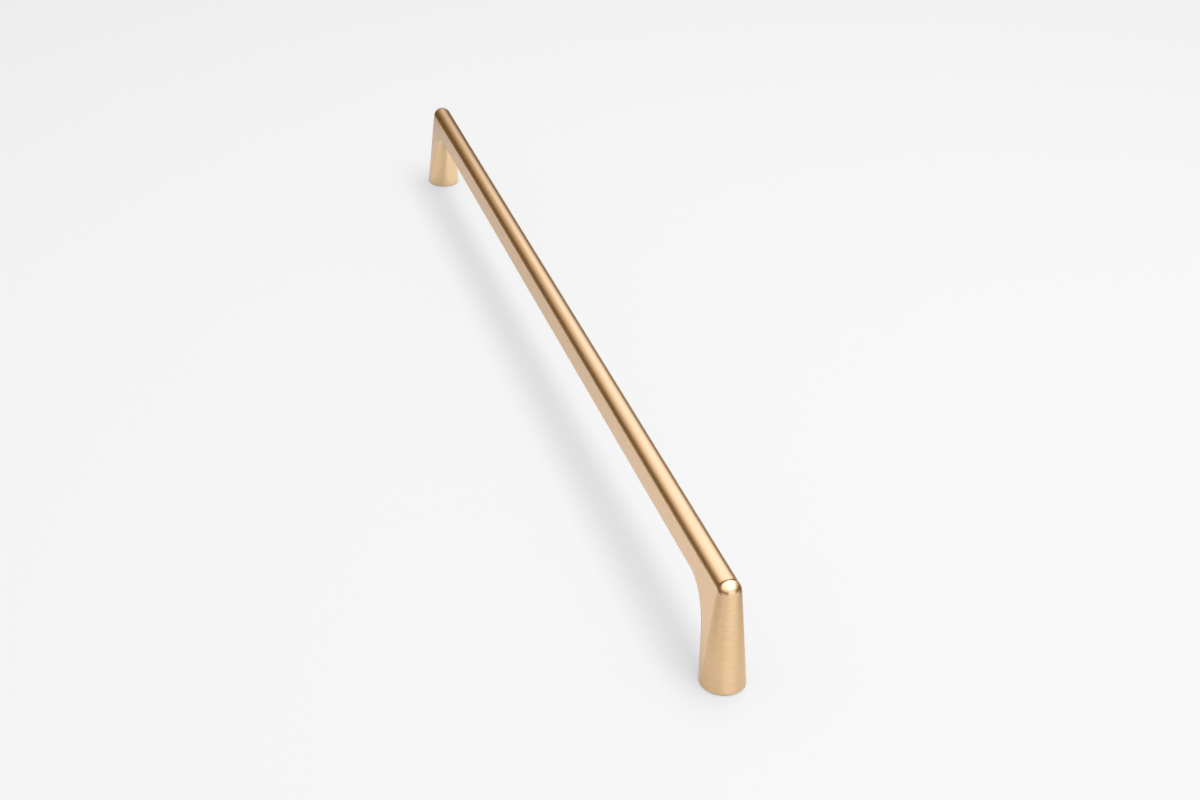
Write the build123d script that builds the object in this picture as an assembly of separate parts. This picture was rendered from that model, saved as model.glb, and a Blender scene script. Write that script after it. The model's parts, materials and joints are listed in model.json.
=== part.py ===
from build123d import *
from math import acos, atan2, cos, hypot, radians, sin, tan
import os

# Bar handle: one cast and brushed brass piece. A bar with a half-round crown stands on two tapered
# legs with round feet, and a screw comes up into each foot through the door or drawer front.
# Frame: origin midway between the feet on the mounting face, X along the bar, Z away from the door.

# Driving dimensions, in millimetres and degrees
hole_spacing = 320.0         # between the axes of the two fixing screws
projection = 29.3            # mounting face to the top of the bar
foot_radius = 5.7            # round foot on the mounting face
foot_flat = 0.3              # length of the side flats where they die out at the foot
foot_chamfer = 0.4           # broken edge around the foot
crown_radius = 3.1           # half-round top of the bar and its domed ends
bar_depth = 7.0              # top of the bar to its flat underside
inner_lean = 16.5            # lean of each leg's inner side towards the middle
inner_corner_radius = 14.0   # sweep of that side into the underside
inner_corner_end = 86.0      # angle at which the sweep meets the underside, just short of level
thread_radius = 2.0          # root of the M4 thread
thread_depth = 12.0          # full thread, measured from the mounting face
thread_chamfer = 0.4         # countersink at the mouth of the thread
drill_point = 118.0          # angle of the drill's tip at the blind end
corner_steps = 6             # sections that carry the inner side around its corner

# Heights and angles that follow from them
screw_x = hole_spacing / 2
crown_height = projection - crown_radius
underside = projection - bar_depth
draft = acos(crown_radius / hypot(foot_radius, crown_height)) - atan2(crown_height, foot_radius)
lean = radians(inner_lean)
corner_end = radians(inner_corner_end)

# The inner corner is limited by the leg, which keeps a straight run above the foot's broken edge
corner_room = underside - 2 * foot_chamfer
corner_radius = min(inner_corner_radius, corner_room / (sin(corner_end) - sin(lean)))
corner_height = underside - corner_radius * sin(corner_end)
corner_reach = foot_flat + corner_height * tan(lean) + corner_radius / cos(lean)


def half_width(height):
    """Half the width across the handle: both drafted sides and the cone of each leg share it."""
    return foot_radius - height * tan(draft)


def leg_section(height, reach, radius):
    """Slot across a leg: round outside on the screw axis, and round inside, a reach further in."""
    inner_x = screw_x - reach
    outer_arc = ThreePointArc((screw_x, -radius), (screw_x + radius, 0), (screw_x, radius))
    far_side = Line((screw_x, radius), (inner_x, radius))
    inner_arc = ThreePointArc((inner_x, radius), (inner_x - radius, 0), (inner_x, -radius))
    near_side = Line((inner_x, -radius), (screw_x, -radius))
    return Pos(0, 0, height) * make_face([outer_arc, far_side, inner_arc, near_side])


def corner_section(turn):
    """Section of a leg where its inner side has turned by this angle towards the underside."""
    height = corner_height + corner_radius * sin(turn)
    reach = corner_reach - corner_radius * cos(turn)
    return leg_section(height, reach, half_width(height))


def leg():
    """Tapered leg from the foot's broken edge up to the underside of the bar."""
    foot_reach = foot_flat + foot_chamfer * tan(lean)
    foot_section = leg_section(foot_chamfer, foot_reach, half_width(foot_chamfer))
    shaft = loft([foot_section, corner_section(lean)], ruled=True)
    step = (corner_end - lean) / corner_steps
    corner = loft([corner_section(lean + step * index) for index in range(corner_steps + 1)])
    return shaft + corner


def foot_edge():
    """Chamfered edge of the foot, from the mounting face to the start of the leg."""
    reach = foot_flat + foot_chamfer * tan(lean)
    top_radius = half_width(foot_chamfer)
    mounting_face = leg_section(0, reach, top_radius - foot_chamfer)
    return loft([mounting_face, leg_section(foot_chamfer, reach, top_radius)], ruled=True)


def crown_points():
    """Corner at the underside, tangent point and top of one side of the bar's section."""
    lower = (half_width(underside), underside)
    tangent = (crown_radius * cos(draft), crown_height + crown_radius * sin(draft))
    return lower, tangent, (0, projection)


def bar():
    """Bar between the screw axes: half-round crown, drafted sides and flat underside."""
    lower, tangent, top = crown_points()
    outline = [
        Line((-tangent[0], tangent[1]), (-lower[0], lower[1])),
        Line((-lower[0], lower[1]), lower),
        Line(lower, tangent),
        ThreePointArc(tangent, top, (-tangent[0], tangent[1])),
    ]
    return extrude(Plane.YZ * make_face(outline), hole_spacing / 2, both=True)


def nose():
    """Domed end above a leg: the bar's section turned half round the screw axis."""
    lower, tangent, top = crown_points()
    middle = radians(45) + draft / 2
    on_arc = (-crown_radius * cos(middle), crown_height + crown_radius * sin(middle))
    outline = [
        Line((0, underside), (-lower[0], lower[1])),
        Line((-lower[0], lower[1]), (-tangent[0], tangent[1])),
        ThreePointArc((-tangent[0], tangent[1]), on_arc, top),
        Line(top, (0, underside)),
    ]
    profile = Plane.YZ.offset(screw_x) * make_face(outline)
    return revolve(profile, Axis((screw_x, 0, 0), (0, 0, 1)), 180)


def screw_hole():
    """Blind tapped hole up the leg, with a countersunk mouth and a drill point."""
    tip = thread_depth + thread_radius / tan(radians(drill_point / 2))
    outline = Polyline(
        (0, 0),
        (thread_radius + thread_chamfer, 0),
        (thread_radius, thread_chamfer),
        (thread_radius, thread_depth),
        (0, tip),
        close=True,
    )
    return Pos(screw_x, 0, 0) * revolve(Plane.XZ * make_face(outline), Axis.Z)


def handle():
    """Whole handle in one solid: the bar, one end and the same end turned half round."""
    end = nose() + leg() + foot_edge() - screw_hole()
    return bar() + end + Rot(0, 0, 180) * end


os.makedirs("parts", exist_ok=True)
export_step(handle(), "parts/bar_handle.step")
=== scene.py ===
import json
from math import cos, pi, radians, sin

import bpy
from mathutils import Euler, Matrix, Vector


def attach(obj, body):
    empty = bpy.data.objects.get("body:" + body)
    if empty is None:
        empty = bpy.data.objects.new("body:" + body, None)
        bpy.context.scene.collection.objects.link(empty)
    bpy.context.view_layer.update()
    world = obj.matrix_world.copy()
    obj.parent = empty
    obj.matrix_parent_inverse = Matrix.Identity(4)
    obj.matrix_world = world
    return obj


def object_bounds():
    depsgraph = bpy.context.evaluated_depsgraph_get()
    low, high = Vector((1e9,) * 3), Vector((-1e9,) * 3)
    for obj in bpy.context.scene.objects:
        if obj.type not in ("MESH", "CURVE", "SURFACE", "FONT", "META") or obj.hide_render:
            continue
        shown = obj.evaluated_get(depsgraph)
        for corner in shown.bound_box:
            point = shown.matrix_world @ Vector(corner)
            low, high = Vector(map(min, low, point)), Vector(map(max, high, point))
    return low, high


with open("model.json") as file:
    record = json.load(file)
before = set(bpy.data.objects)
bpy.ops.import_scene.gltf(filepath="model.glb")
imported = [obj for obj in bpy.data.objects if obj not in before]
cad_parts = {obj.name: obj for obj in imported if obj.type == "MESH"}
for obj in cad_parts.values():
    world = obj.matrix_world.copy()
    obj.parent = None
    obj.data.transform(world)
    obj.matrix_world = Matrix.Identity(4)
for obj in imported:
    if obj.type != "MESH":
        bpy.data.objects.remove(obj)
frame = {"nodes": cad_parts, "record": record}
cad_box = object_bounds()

# Sizes of the handle in metres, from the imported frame
MM = 0.001
mounts = {mount["name"]: mount for mount in frame["record"]["mounts"]}
screw_x = mounts["right_thread"]["pos_m"][0]
thread_middle = mounts["right_thread"]["pos_m"][2]
thread_root = mounts["right_thread"]["dims"]["r_mm"] * MM
thread_length = mounts["right_thread"]["dims"]["length_mm"] * MM
crown_radius = 3.1 * MM
crown_height = cad_box[1][2] - crown_radius   # where the half-round crown meets the sides

# Thread in each foot
thread_pitch = 0.7 * MM
thread_crest = 1.62 * MM                      # inner radius of the ridge
thread_half_root = 0.44 * thread_pitch        # half the ridge's width at its root
thread_half_crest = 0.125 * thread_pitch      # and at its crest
thread_seat = 0.02 * MM                       # how far the root sits in the wall of the hole
thread_fade = 0.35 * MM                       # plain wall left at each end of the hole
thread_run_out = 0.5                          # turns over which the ridge rises from the wall
thread_segments = 48                          # around one turn

# Camera
camera_place = (481.5 * MM, -130.7 * MM, 267.8 * MM)
camera_heading = 73.0                         # degrees from looking along +Y, towards -X
camera_pitch = 29.07                          # degrees below level
camera_roll = 1.63                            # degrees
camera_lens = 54.56                           # mm
camera_sensor = 36.0                          # mm wide
camera_near = 0.01                            # m, nothing nearer is drawn

# Colours of the brass on the bar, on the legs and on the legs' inner sides; the legs' copy is deeper,
# which is painted shade, and the inner sides' copy is lighter, which is painted light
brass_light = (0.880, 0.625, 0.400, 1.0)
brass_deep = (0.850, 0.590, 0.360, 1.0)
shaded_leg_light = (0.845, 0.597, 0.358, 1.0)
shaded_leg_deep = (0.768, 0.527, 0.298, 1.0)
lit_inner_light = (0.970, 0.705, 0.415, 1.0)
lit_inner_deep = (0.935, 0.665, 0.380, 1.0)

# Least and most roughness of each finish, which follows its brush lines
crown_roughness = (0.19, 0.25)
side_roughness = (0.28, 0.34)
leg_roughness = (0.32, 0.44)
inner_roughness = (0.20, 0.26)
cut_roughness = (0.25, 0.40)

# Brush lines and tool marks: how often they change in a metre, along X, Y and Z
brush_along_bar = (110.0, 5200.0, 5200.0)
brush_around_leg = (330.0, 330.0, 2500.0)
cut_marks = (600.0, 600.0, 9000.0)
brush_depth = 0.003 * MM
brush_share = 0.7                             # share of the lines in the tone, clouds have the rest
cloud_scale = 90.0                            # clouds in a metre
noise_range = (0.3, 0.7)                      # where most values of a noise lie
brass_anisotropy = 0.75

# Where each finish begins, and with it the painted shade on the legs and the painted light on their inner
# sides
leg_blend = 0.1 * MM                          # to both sides of the screw's axis
leg_start = (crown_height + 0.7 * MM, crown_height - 0.1 * MM)
# The bottom of the foot also takes the legs' painted shade
foot_start = (0.6 * MM, 0.2 * MM)             # the bottom of the foot is finished like the leg
inner_turn = (-0.1, -0.4)                     # a leg's inner side looks outwards by less than this
side_turn = (0.975, 0.99)                     # a flat side looks sideways by more than this

# Polish: soft edges, and a faint lip at the near end where it meets the brushed bar
polish_radius = 0.5 * MM
lip_height = 0.14 * MM
lip_x = screw_x + 0.35 * MM
lip_run = (1.0 * MM, 0.7 * MM)                # its slopes towards the bar and towards the end
lip_start = (crown_height + 1.5 * MM, crown_height + 2.7 * MM)

# Floor, in metres. In the metal's reflections it is painted dark, and only a strip along the handle is
# pale
floor_colour = (0.93, 0.93, 0.93, 1.0)
floor_size = 16.0
floor_pale_middle = -0.012                    # middle line of the strip
floor_pale_reach = 0.030                      # to each side, as far as it stays pale
floor_dark_reach = 0.125                      # to each side, where it has gone dark
floor_front_reach = 0.080                     # from the near foot, where it is pale to all sides
floor_far_reach = -0.012                      # less than 0: it goes dark later behind the far foot
floor_far_dim = 0.22                          # how much darker it is beside the far end
floor_beside = (-0.006, -0.016)               # where that begins to the side
floor_farther = (0.75 * screw_x, -0.5 * screw_x)   # and along the handle
floor_glow = (0.885, 0.885, 0.885, 1.0)
floor_glow_share = 0.63                       # share of the paleness that no shadow reaches
floor_glow_metal = 0.34                       # the same in the metal's reflections

# Surroundings that the metal sees: dark, then warm, then pale with height
surround_dark = (0.16, 0.10, 0.035, 1.0)
surround_warm = (0.68, 0.57, 0.42, 1.0)
surround_pale = (1.58, 1.58, 1.68, 1.0)
surround_up = (0.0, -0.06, 1.0)               # they brighten in this direction
warm_rise = (0.20, 0.52)                      # between these heights
pale_rise = (0.38, 0.76)

# Light
fill_colour = (0.40, 0.40, 0.40, 1.0)
softbox_place = (0.20, 0.23, 1.0)
softbox_size = (1.3, 0.46)
softbox_radiance = 4.05
card_distance = 4.0


def new_tree(owner):
    """Empty node tree of a material or the world."""
    owner.use_nodes = True
    tree = owner.node_tree
    tree.nodes.clear()
    return tree


def add(tree, kind, **settings):
    """A node of this kind, with its properties and, by socket name or number, its inputs set."""
    node = tree.nodes.new(kind)
    inputs = settings.pop("inputs", {})
    for name, value in settings.items():
        setattr(node, name, value)
    for name, value in inputs.items():
        if isinstance(value, bpy.types.NodeSocket):
            tree.links.new(value, node.inputs[name])
        else:
            node.inputs[name].default_value = value
    return node


def math_node(tree, operation, first, second=0.0):
    """Result of one sum on two values or sockets."""
    return add(tree, "ShaderNodeMath", operation=operation, inputs={0: first, 1: second}).outputs[0]


def vector_node(tree, operation, first, second=(0.0, 0.0, 0.0)):
    """Result of one sum on two vectors or sockets."""
    node = add(tree, "ShaderNodeVectorMath", operation=operation, inputs={0: first, 1: second})
    return node.outputs["Value" if operation == "DOT_PRODUCT" else "Vector"]


def step_between(tree, value, start, end):
    """Smooth step from 0 at start to 1 at end."""
    node = add(tree, "ShaderNodeMapRange", interpolation_type="SMOOTHSTEP",
               inputs={"Value": value, "From Min": start, "From Max": end})
    return node.outputs[0]


def noise(tree, place, scale=1.0, detail=2.0, roughness=0.5):
    """Soft random value that changes from place to place."""
    node = add(tree, "ShaderNodeTexNoise", inputs={"Vector": place, "Scale": scale, "Detail": detail,
                                                   "Roughness": roughness})
    return node.outputs["Fac"]


def between(tree, value, least, most):
    """Value that follows a noise from least to most."""
    node = add(tree, "ShaderNodeMapRange", inputs={"Value": value, "To Min": least, "To Max": most,
                                                   "From Min": noise_range[0],
                                                   "From Max": noise_range[1]})
    return node.outputs[0]


def mix_values(tree, share, first, second):
    """First value at share 0, second at share 1."""
    return add(tree, "ShaderNodeMix", inputs={0: share, 2: first, 3: second}).outputs[0]


def mix_vectors(tree, share, first, second):
    """First vector at share 0, second at share 1."""
    node = add(tree, "ShaderNodeMix", data_type="VECTOR", inputs={0: share, 4: first, 5: second})
    return node.outputs[1]


def mix_colours(tree, share, first, second):
    """First colour at share 0, second at share 1."""
    node = add(tree, "ShaderNodeMix", data_type="RGBA", inputs={0: share, 6: first, 7: second})
    return node.outputs[2]


def mix_shaders(tree, share, first, second):
    """First shader at share 0, second at share 1."""
    return add(tree, "ShaderNodeMixShader",
               inputs={0: share, 1: first.outputs[0], 2: second.outputs[0]})


def finish_and_painted_light_shares(tree, axes, normal):
    """Shares of the finish on the legs, of that on their inner sides and of that on the flat sides; the
    first two also place the painted shade on the legs and the painted light on their inner sides.
    """
    outward = math_node(tree, "ABSOLUTE", axes.outputs["X"])
    past_screw = step_between(tree, outward, screw_x - leg_blend, screw_x + leg_blend)
    under_crown = step_between(tree, axes.outputs["Z"], *leg_start)
    end = math_node(tree, "SIGN", axes.outputs["X"])
    lengthways = vector_node(tree, "DOT_PRODUCT", normal, (1.0, 0.0, 0.0))
    inward = step_between(tree, math_node(tree, "MULTIPLY", lengthways, end), *inner_turn)
    on_inside = math_node(tree, "MULTIPLY", inward, under_crown)
    on_leg = math_node(tree, "MULTIPLY", past_screw, under_crown)
    on_leg = math_node(tree, "MAXIMUM", on_leg, on_inside)
    on_foot = step_between(tree, axes.outputs["Z"], *foot_start)
    on_leg = math_node(tree, "MAXIMUM", on_leg, on_foot)
    sideways = vector_node(tree, "DOT_PRODUCT", normal, (0.0, 1.0, 0.0))
    on_side = step_between(tree, math_node(tree, "ABSOLUTE", sideways), *side_turn)
    return on_leg, on_inside, on_side


def brass_colour(tree, place, brush, on_leg, on_inside):
    """Colour of the brass, lighter and deeper with the brush lines and in soft clouds, with painted shade
    on the legs and painted light on their inner sides.
    """
    brush_part = math_node(tree, "MULTIPLY", brush, brush_share)
    cloud_part = math_node(tree, "MULTIPLY", noise(tree, place, scale=cloud_scale), 1.0 - brush_share)
    tone = step_between(tree, math_node(tree, "ADD", brush_part, cloud_part), *noise_range)
    bar = mix_colours(tree, tone, brass_deep, brass_light)
    # Painted shade: the legs take a deeper copy of the brass
    leg = mix_colours(tree, tone, shaded_leg_deep, shaded_leg_light)
    # Painted light: the legs' inner sides take a lighter copy of the brass
    inside = mix_colours(tree, tone, lit_inner_deep, lit_inner_light)
    outside = mix_colours(tree, on_leg, bar, leg)
    return mix_colours(tree, on_inside, outside, inside)


def brass_roughness(tree, brush, on_leg, on_inside, on_side):
    """Roughness of the brass, which follows the brush lines."""
    crown = between(tree, brush, *crown_roughness)
    side = between(tree, brush, *side_roughness)
    leg = between(tree, brush, *leg_roughness)
    inside = between(tree, brush, *inner_roughness)
    bar = mix_values(tree, on_side, crown, side)
    outside = mix_values(tree, on_leg, bar, leg)
    return mix_values(tree, on_inside, outside, inside)


def brass_normal(tree, axes, brush):
    """Surface direction with softened edges, brush lines and the lip at the near end."""
    lip_rise = step_between(tree, axes.outputs["X"], lip_x - lip_run[0], lip_x)
    lip_fall = step_between(tree, axes.outputs["X"], lip_x + lip_run[1], lip_x)
    over_crown = step_between(tree, axes.outputs["Z"], *lip_start)
    lip = math_node(tree, "MULTIPLY", math_node(tree, "MULTIPLY", lip_rise, lip_fall), over_crown)
    lip_relief = math_node(tree, "MULTIPLY", lip, lip_height)
    brush_relief = math_node(tree, "MULTIPLY", brush, brush_depth)
    soft_edges = add(tree, "ShaderNodeBevel", samples=8, inputs={"Radius": polish_radius})
    bump = add(tree, "ShaderNodeBump", inputs={
        "Strength": 1.0,
        "Distance": 1.0,
        "Height": math_node(tree, "ADD", brush_relief, lip_relief),
        "Normal": soft_edges.outputs[0],
    })
    return bump.outputs[0]


def brush_tangent(tree, normal, on_leg):
    """Direction across the brush lines: over the bar from side to side, and up each leg."""
    # The small vectors keep both directions defined where the surface faces along X or Z
    across_bar = vector_node(tree, "CROSS_PRODUCT", normal, (1.0, 0.0, 0.0))
    across_bar = vector_node(tree, "ADD", across_bar, (0.0, 0.001, 0.0))
    around_leg = vector_node(tree, "CROSS_PRODUCT", (0.0, 0.0, 1.0), normal)
    around_leg = vector_node(tree, "ADD", around_leg, (0.001, 0.0, 0.0))
    up_leg = vector_node(tree, "CROSS_PRODUCT", normal, around_leg)
    return vector_node(tree, "NORMALIZE", mix_vectors(tree, on_leg, across_bar, up_leg))


def brushed_brass():
    """Satin brass with fine brush lines: along the bar and over its ends, and around each leg; its colour
    holds painted shade on the legs and painted light on their inner sides.
    """
    material = bpy.data.materials.new("brushed_brass")
    tree = new_tree(material)
    place = add(tree, "ShaderNodeTexCoord").outputs["Object"]
    axes = add(tree, "ShaderNodeSeparateXYZ", inputs={0: place})
    normal = add(tree, "ShaderNodeNewGeometry").outputs["Normal"]
    on_leg, on_inside, on_side = finish_and_painted_light_shares(tree, axes, normal)
    along_bar = vector_node(tree, "MULTIPLY", place, brush_along_bar)
    around_leg = vector_node(tree, "MULTIPLY", place, brush_around_leg)
    lines = mix_vectors(tree, on_leg, along_bar, around_leg)
    brush = noise(tree, lines, detail=4.0, roughness=0.6)
    shader = add(tree, "ShaderNodeBsdfPrincipled", inputs={
        "Base Color": brass_colour(tree, place, brush, on_leg, on_inside),
        "Metallic": 1.0,
        "Roughness": brass_roughness(tree, brush, on_leg, on_inside, on_side),
        "Anisotropic": brass_anisotropy,
        "Tangent": brush_tangent(tree, normal, on_leg),
        "Normal": brass_normal(tree, axes, brush),
    })
    add(tree, "ShaderNodeOutputMaterial", inputs={"Surface": shader.outputs[0]})
    return material


def cut_brass():
    """Bare machined brass of the thread, with fine tool marks around it."""
    material = bpy.data.materials.new("cut_brass")
    tree = new_tree(material)
    place = add(tree, "ShaderNodeTexCoord").outputs["Object"]
    marks = noise(tree, vector_node(tree, "MULTIPLY", place, cut_marks), detail=3.0)
    bump = add(tree, "ShaderNodeBump", inputs={"Strength": 0.6, "Distance": brush_depth, "Height": marks})
    shader = add(tree, "ShaderNodeBsdfPrincipled", inputs={
        "Base Color": mix_colours(tree, marks, brass_deep, brass_light),
        "Metallic": 1.0,
        "Roughness": between(tree, marks, *cut_roughness),
        "Normal": bump.outputs[0],
    })
    add(tree, "ShaderNodeOutputMaterial", inputs={"Surface": shader.outputs[0]})
    return material


def thread(name, axis_x):
    """Ridge of the coarse M4 thread in one foot, from the countersink to the end of the full thread."""
    turns = (thread_length - 2 * thread_fade) / thread_pitch
    steps = int(turns * thread_segments)
    start = thread_middle - thread_length / 2 + thread_fade
    root = thread_root + thread_seat
    points = []
    faces = []
    for step in range(steps + 1):
        turn = 2 * pi * step / thread_segments
        height = start + thread_pitch * step / thread_segments
        turns_from_end = min(step, steps - step) / thread_segments
        rise = min(1.0, turns_from_end / thread_run_out)
        crest = thread_root - (thread_root - thread_crest) * rise
        section = [(root, -thread_half_root), (crest, -thread_half_crest),
                   (crest, thread_half_crest), (root, thread_half_root)]
        for radius, offset in section:
            points.append((axis_x + radius * cos(turn), radius * sin(turn), height + offset))
        corners = len(section)
        if step:
            this = corners * step
            last = this - corners
            for corner in range(corners):
                after = (corner + 1) % corners
                faces.append((last + corner, last + after, this + after, this + corner))
    faces.append(tuple(reversed(range(corners))))
    faces.append(tuple(range(len(points) - corners, len(points))))
    mesh = bpy.data.meshes.new(name)
    mesh.from_pydata(points, [], faces)
    mesh.materials.append(cut_brass())
    ridge = bpy.data.objects.new(name, mesh)
    bpy.context.scene.collection.objects.link(ridge)
    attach(ridge, "root")


def floor_darkness(tree):
    """Share of painted shade in the floor's reflection, from 0 beside the handle to 1 far from it, with
    some more beside the far end.
    """
    place = add(tree, "ShaderNodeTexCoord").outputs["Object"]
    axes = add(tree, "ShaderNodeSeparateXYZ", inputs={0: place})
    from_middle = math_node(tree, "SUBTRACT", axes.outputs["Y"], floor_pale_middle)
    beyond = math_node(tree, "SUBTRACT", floor_far_reach - screw_x, axes.outputs["X"])
    reach = math_node(tree, "MAXIMUM", math_node(tree, "ABSOLUTE", from_middle), beyond)
    aside = step_between(tree, reach, floor_pale_reach, floor_dark_reach)
    behind = step_between(tree, axes.outputs["X"], screw_x + floor_front_reach, screw_x)
    beside = step_between(tree, axes.outputs["Y"], *floor_beside)
    farther = step_between(tree, axes.outputs["X"], *floor_farther)
    dim = math_node(tree, "MULTIPLY", math_node(tree, "MULTIPLY", beside, farther), floor_far_dim)
    return math_node(tree, "MAXIMUM", math_node(tree, "MULTIPLY", aside, behind), dim)


def floor():
    """Pale sheet: it takes the soft shadow, and in the metal's reflections it is painted dark with
    distance.
    """
    material = bpy.data.materials.new("floor_sheet")
    tree = new_tree(material)
    paths = add(tree, "ShaderNodeLightPath")
    lit = add(tree, "ShaderNodeBsdfDiffuse", inputs={"Color": floor_colour})
    glow = add(tree, "ShaderNodeEmission", inputs={"Color": floor_glow})
    glow_seen = math_node(tree, "MULTIPLY", paths.outputs["Is Camera Ray"], floor_glow_share)
    glow_mirrored = math_node(tree, "MULTIPLY", paths.outputs["Is Glossy Ray"], floor_glow_metal)
    sheet = mix_shaders(tree, math_node(tree, "ADD", glow_seen, glow_mirrored), lit, glow)
    # Painted shade: a dark glow that only glossy rays see on the floor away from the handle
    distance = add(tree, "ShaderNodeEmission", inputs={"Color": surround_dark})
    dark_mirrored = math_node(tree, "MULTIPLY", floor_darkness(tree), paths.outputs["Is Glossy Ray"])
    mixed = mix_shaders(tree, dark_mirrored, sheet, distance)
    add(tree, "ShaderNodeOutputMaterial", inputs={"Surface": mixed.outputs[0]})
    bpy.ops.mesh.primitive_plane_add(size=floor_size, location=(0, 0, 0))
    sheet_object = bpy.context.object
    sheet_object.name = "floor"
    sheet_object.data.materials.append(material)


def surroundings():
    """World: pale behind the object, an even fill on the floor, and for the metal dark at the horizon."""
    world = bpy.data.worlds.new("studio")
    bpy.context.scene.world = world
    tree = new_tree(world)
    direction = add(tree, "ShaderNodeTexCoord").outputs["Generated"]
    height = vector_node(tree, "DOT_PRODUCT", direction, surround_up)
    warm = mix_colours(tree, step_between(tree, height, *warm_rise), surround_dark, surround_warm)
    mirrored = mix_colours(tree, step_between(tree, height, *pale_rise), warm, surround_pale)
    paths = add(tree, "ShaderNodeLightPath")
    colour = mix_colours(tree, paths.outputs["Is Glossy Ray"], fill_colour, mirrored)
    colour = mix_colours(tree, paths.outputs["Is Camera Ray"], colour, floor_colour)
    background = add(tree, "ShaderNodeBackground", inputs={"Color": colour, "Strength": 1.0})
    add(tree, "ShaderNodeOutputWorld", inputs={"Surface": background.outputs[0]})


def card_material(name, low_colour, high_colour, side_fade, low_fade):
    """Glow that goes from one colour up to another and fades out at the sides and the low edge."""
    material = bpy.data.materials.new(name)
    tree = new_tree(material)
    place = add(tree, "ShaderNodeTexCoord").outputs["UV"]
    axes = add(tree, "ShaderNodeSeparateXYZ", inputs={0: place})
    right_edge = step_between(tree, axes.outputs["X"], 0.0, side_fade)
    left_edge = step_between(tree, axes.outputs["X"], 1.0, 1.0 - side_fade)
    low_edge = step_between(tree, axes.outputs["Y"], 0.0, low_fade)
    sides = math_node(tree, "MULTIPLY", right_edge, left_edge)
    share = math_node(tree, "MULTIPLY", sides, low_edge)
    colour = mix_colours(tree, axes.outputs["Y"], low_colour + (1.0,), high_colour + (1.0,))
    glow = add(tree, "ShaderNodeEmission", inputs={"Color": colour})
    clear = add(tree, "ShaderNodeBsdfTransparent")
    mixed = mix_shaders(tree, share, clear, glow)
    add(tree, "ShaderNodeOutputMaterial", inputs={"Surface": mixed.outputs[0]})
    return material


def card(name, low_edge, top, low_colour, high_colour, side_fade, low_fade):
    """Soft-edged glowing panel around the handle that only the metal sees: it paints pale highlights into
    the metal's reflections.

    Its low edge is a row of azimuths and elevations in degrees, from right to left as seen from
    the handle, and its top is one elevation. The fades are shares of its width and height.
    """
    points = []
    for azimuth, elevation in low_edge + [(azimuth, top) for azimuth, elevation in low_edge]:
        level = card_distance * cos(radians(elevation))
        height = card_distance * sin(radians(elevation))
        points.append((level * cos(radians(azimuth)), level * sin(radians(azimuth)), height))
    count = len(low_edge)
    faces = [(step, step + 1, count + step + 1, count + step) for step in range(count - 1)]
    mesh = bpy.data.meshes.new(name)
    mesh.from_pydata(points, [], faces)
    layer = mesh.uv_layers.new(name="panel")
    for loop in mesh.loops:
        row, column = divmod(loop.vertex_index, count)
        layer.data[loop.index].uv = (column / (count - 1), row)
    mesh.materials.append(card_material(name, low_colour, high_colour, side_fade, low_fade))
    panel = bpy.data.objects.new(name, mesh)
    bpy.context.scene.collection.objects.link(panel)
    panel.visible_camera = False
    panel.visible_diffuse = False
    panel.visible_shadow = False


def softbox():
    """Large soft lamp overhead, a little towards the near end and the far side."""
    lamp = bpy.data.lights.new("softbox", "AREA")
    lamp.shape = "RECTANGLE"
    lamp.size, lamp.size_y = softbox_size
    # The power of such a lamp is four times its radiance and area
    lamp.energy = 4 * softbox_radiance * softbox_size[0] * softbox_size[1]
    holder = bpy.data.objects.new("softbox", lamp)
    bpy.context.scene.collection.objects.link(holder)
    back = Vector(softbox_place).normalized()
    along = (Vector((1, 0, 0)) - back * back.x).normalized()
    turn = Matrix((along, back.cross(along), back)).transposed()
    holder.matrix_world = Matrix.LocRotScale(Vector(softbox_place), turn.to_quaternion(), None)
    holder.visible_camera = False


def camera():
    """Camera at the photograph's viewing angle."""
    data = bpy.data.cameras.new("camera")
    data.sensor_fit = "HORIZONTAL"
    data.sensor_width = camera_sensor
    data.lens = camera_lens
    data.clip_start = camera_near
    holder = bpy.data.objects.new("camera", data)
    bpy.context.scene.collection.objects.link(holder)
    aim = Euler((radians(90 - camera_pitch), 0, radians(camera_heading))).to_matrix()
    turn = aim @ Matrix.Rotation(radians(camera_roll), 3, "Z")
    holder.matrix_world = Matrix.LocRotScale(Vector(camera_place), turn.to_quaternion(), None)
    bpy.context.scene.camera = holder


# The handle and its threads
handle = frame["nodes"]["bar_handle"]
handle.data.materials.clear()
handle.data.materials.append(brushed_brass())
thread("right_thread_ridge", screw_x)
thread("left_thread_ridge", -screw_x)

# The studio
floor()
surroundings()
softbox()
# Painted highlights: glowing panels seen only in the metal's reflections
card("front_card", low_edge=[(-32, -0.5), (10, -0.5), (52, -0.5)], top=50,
     low_colour=(1.12, 1.1, 1.05), high_colour=(1.5, 1.5, 1.5), side_fade=0.3, low_fade=0.02)
card("back_card", low_edge=[(98, -8), (122, -4), (146, 0), (160, 6), (172, 13), (193, 22)], top=42,
     low_colour=(1.2, 1.17, 1.08), high_colour=(1.4, 1.42, 1.55), side_fade=0.2, low_fade=0.65)
camera()
bpy.context.scene.view_settings.view_transform = "Standard"
bpy.context.scene.cycles.caustics_reflective = False
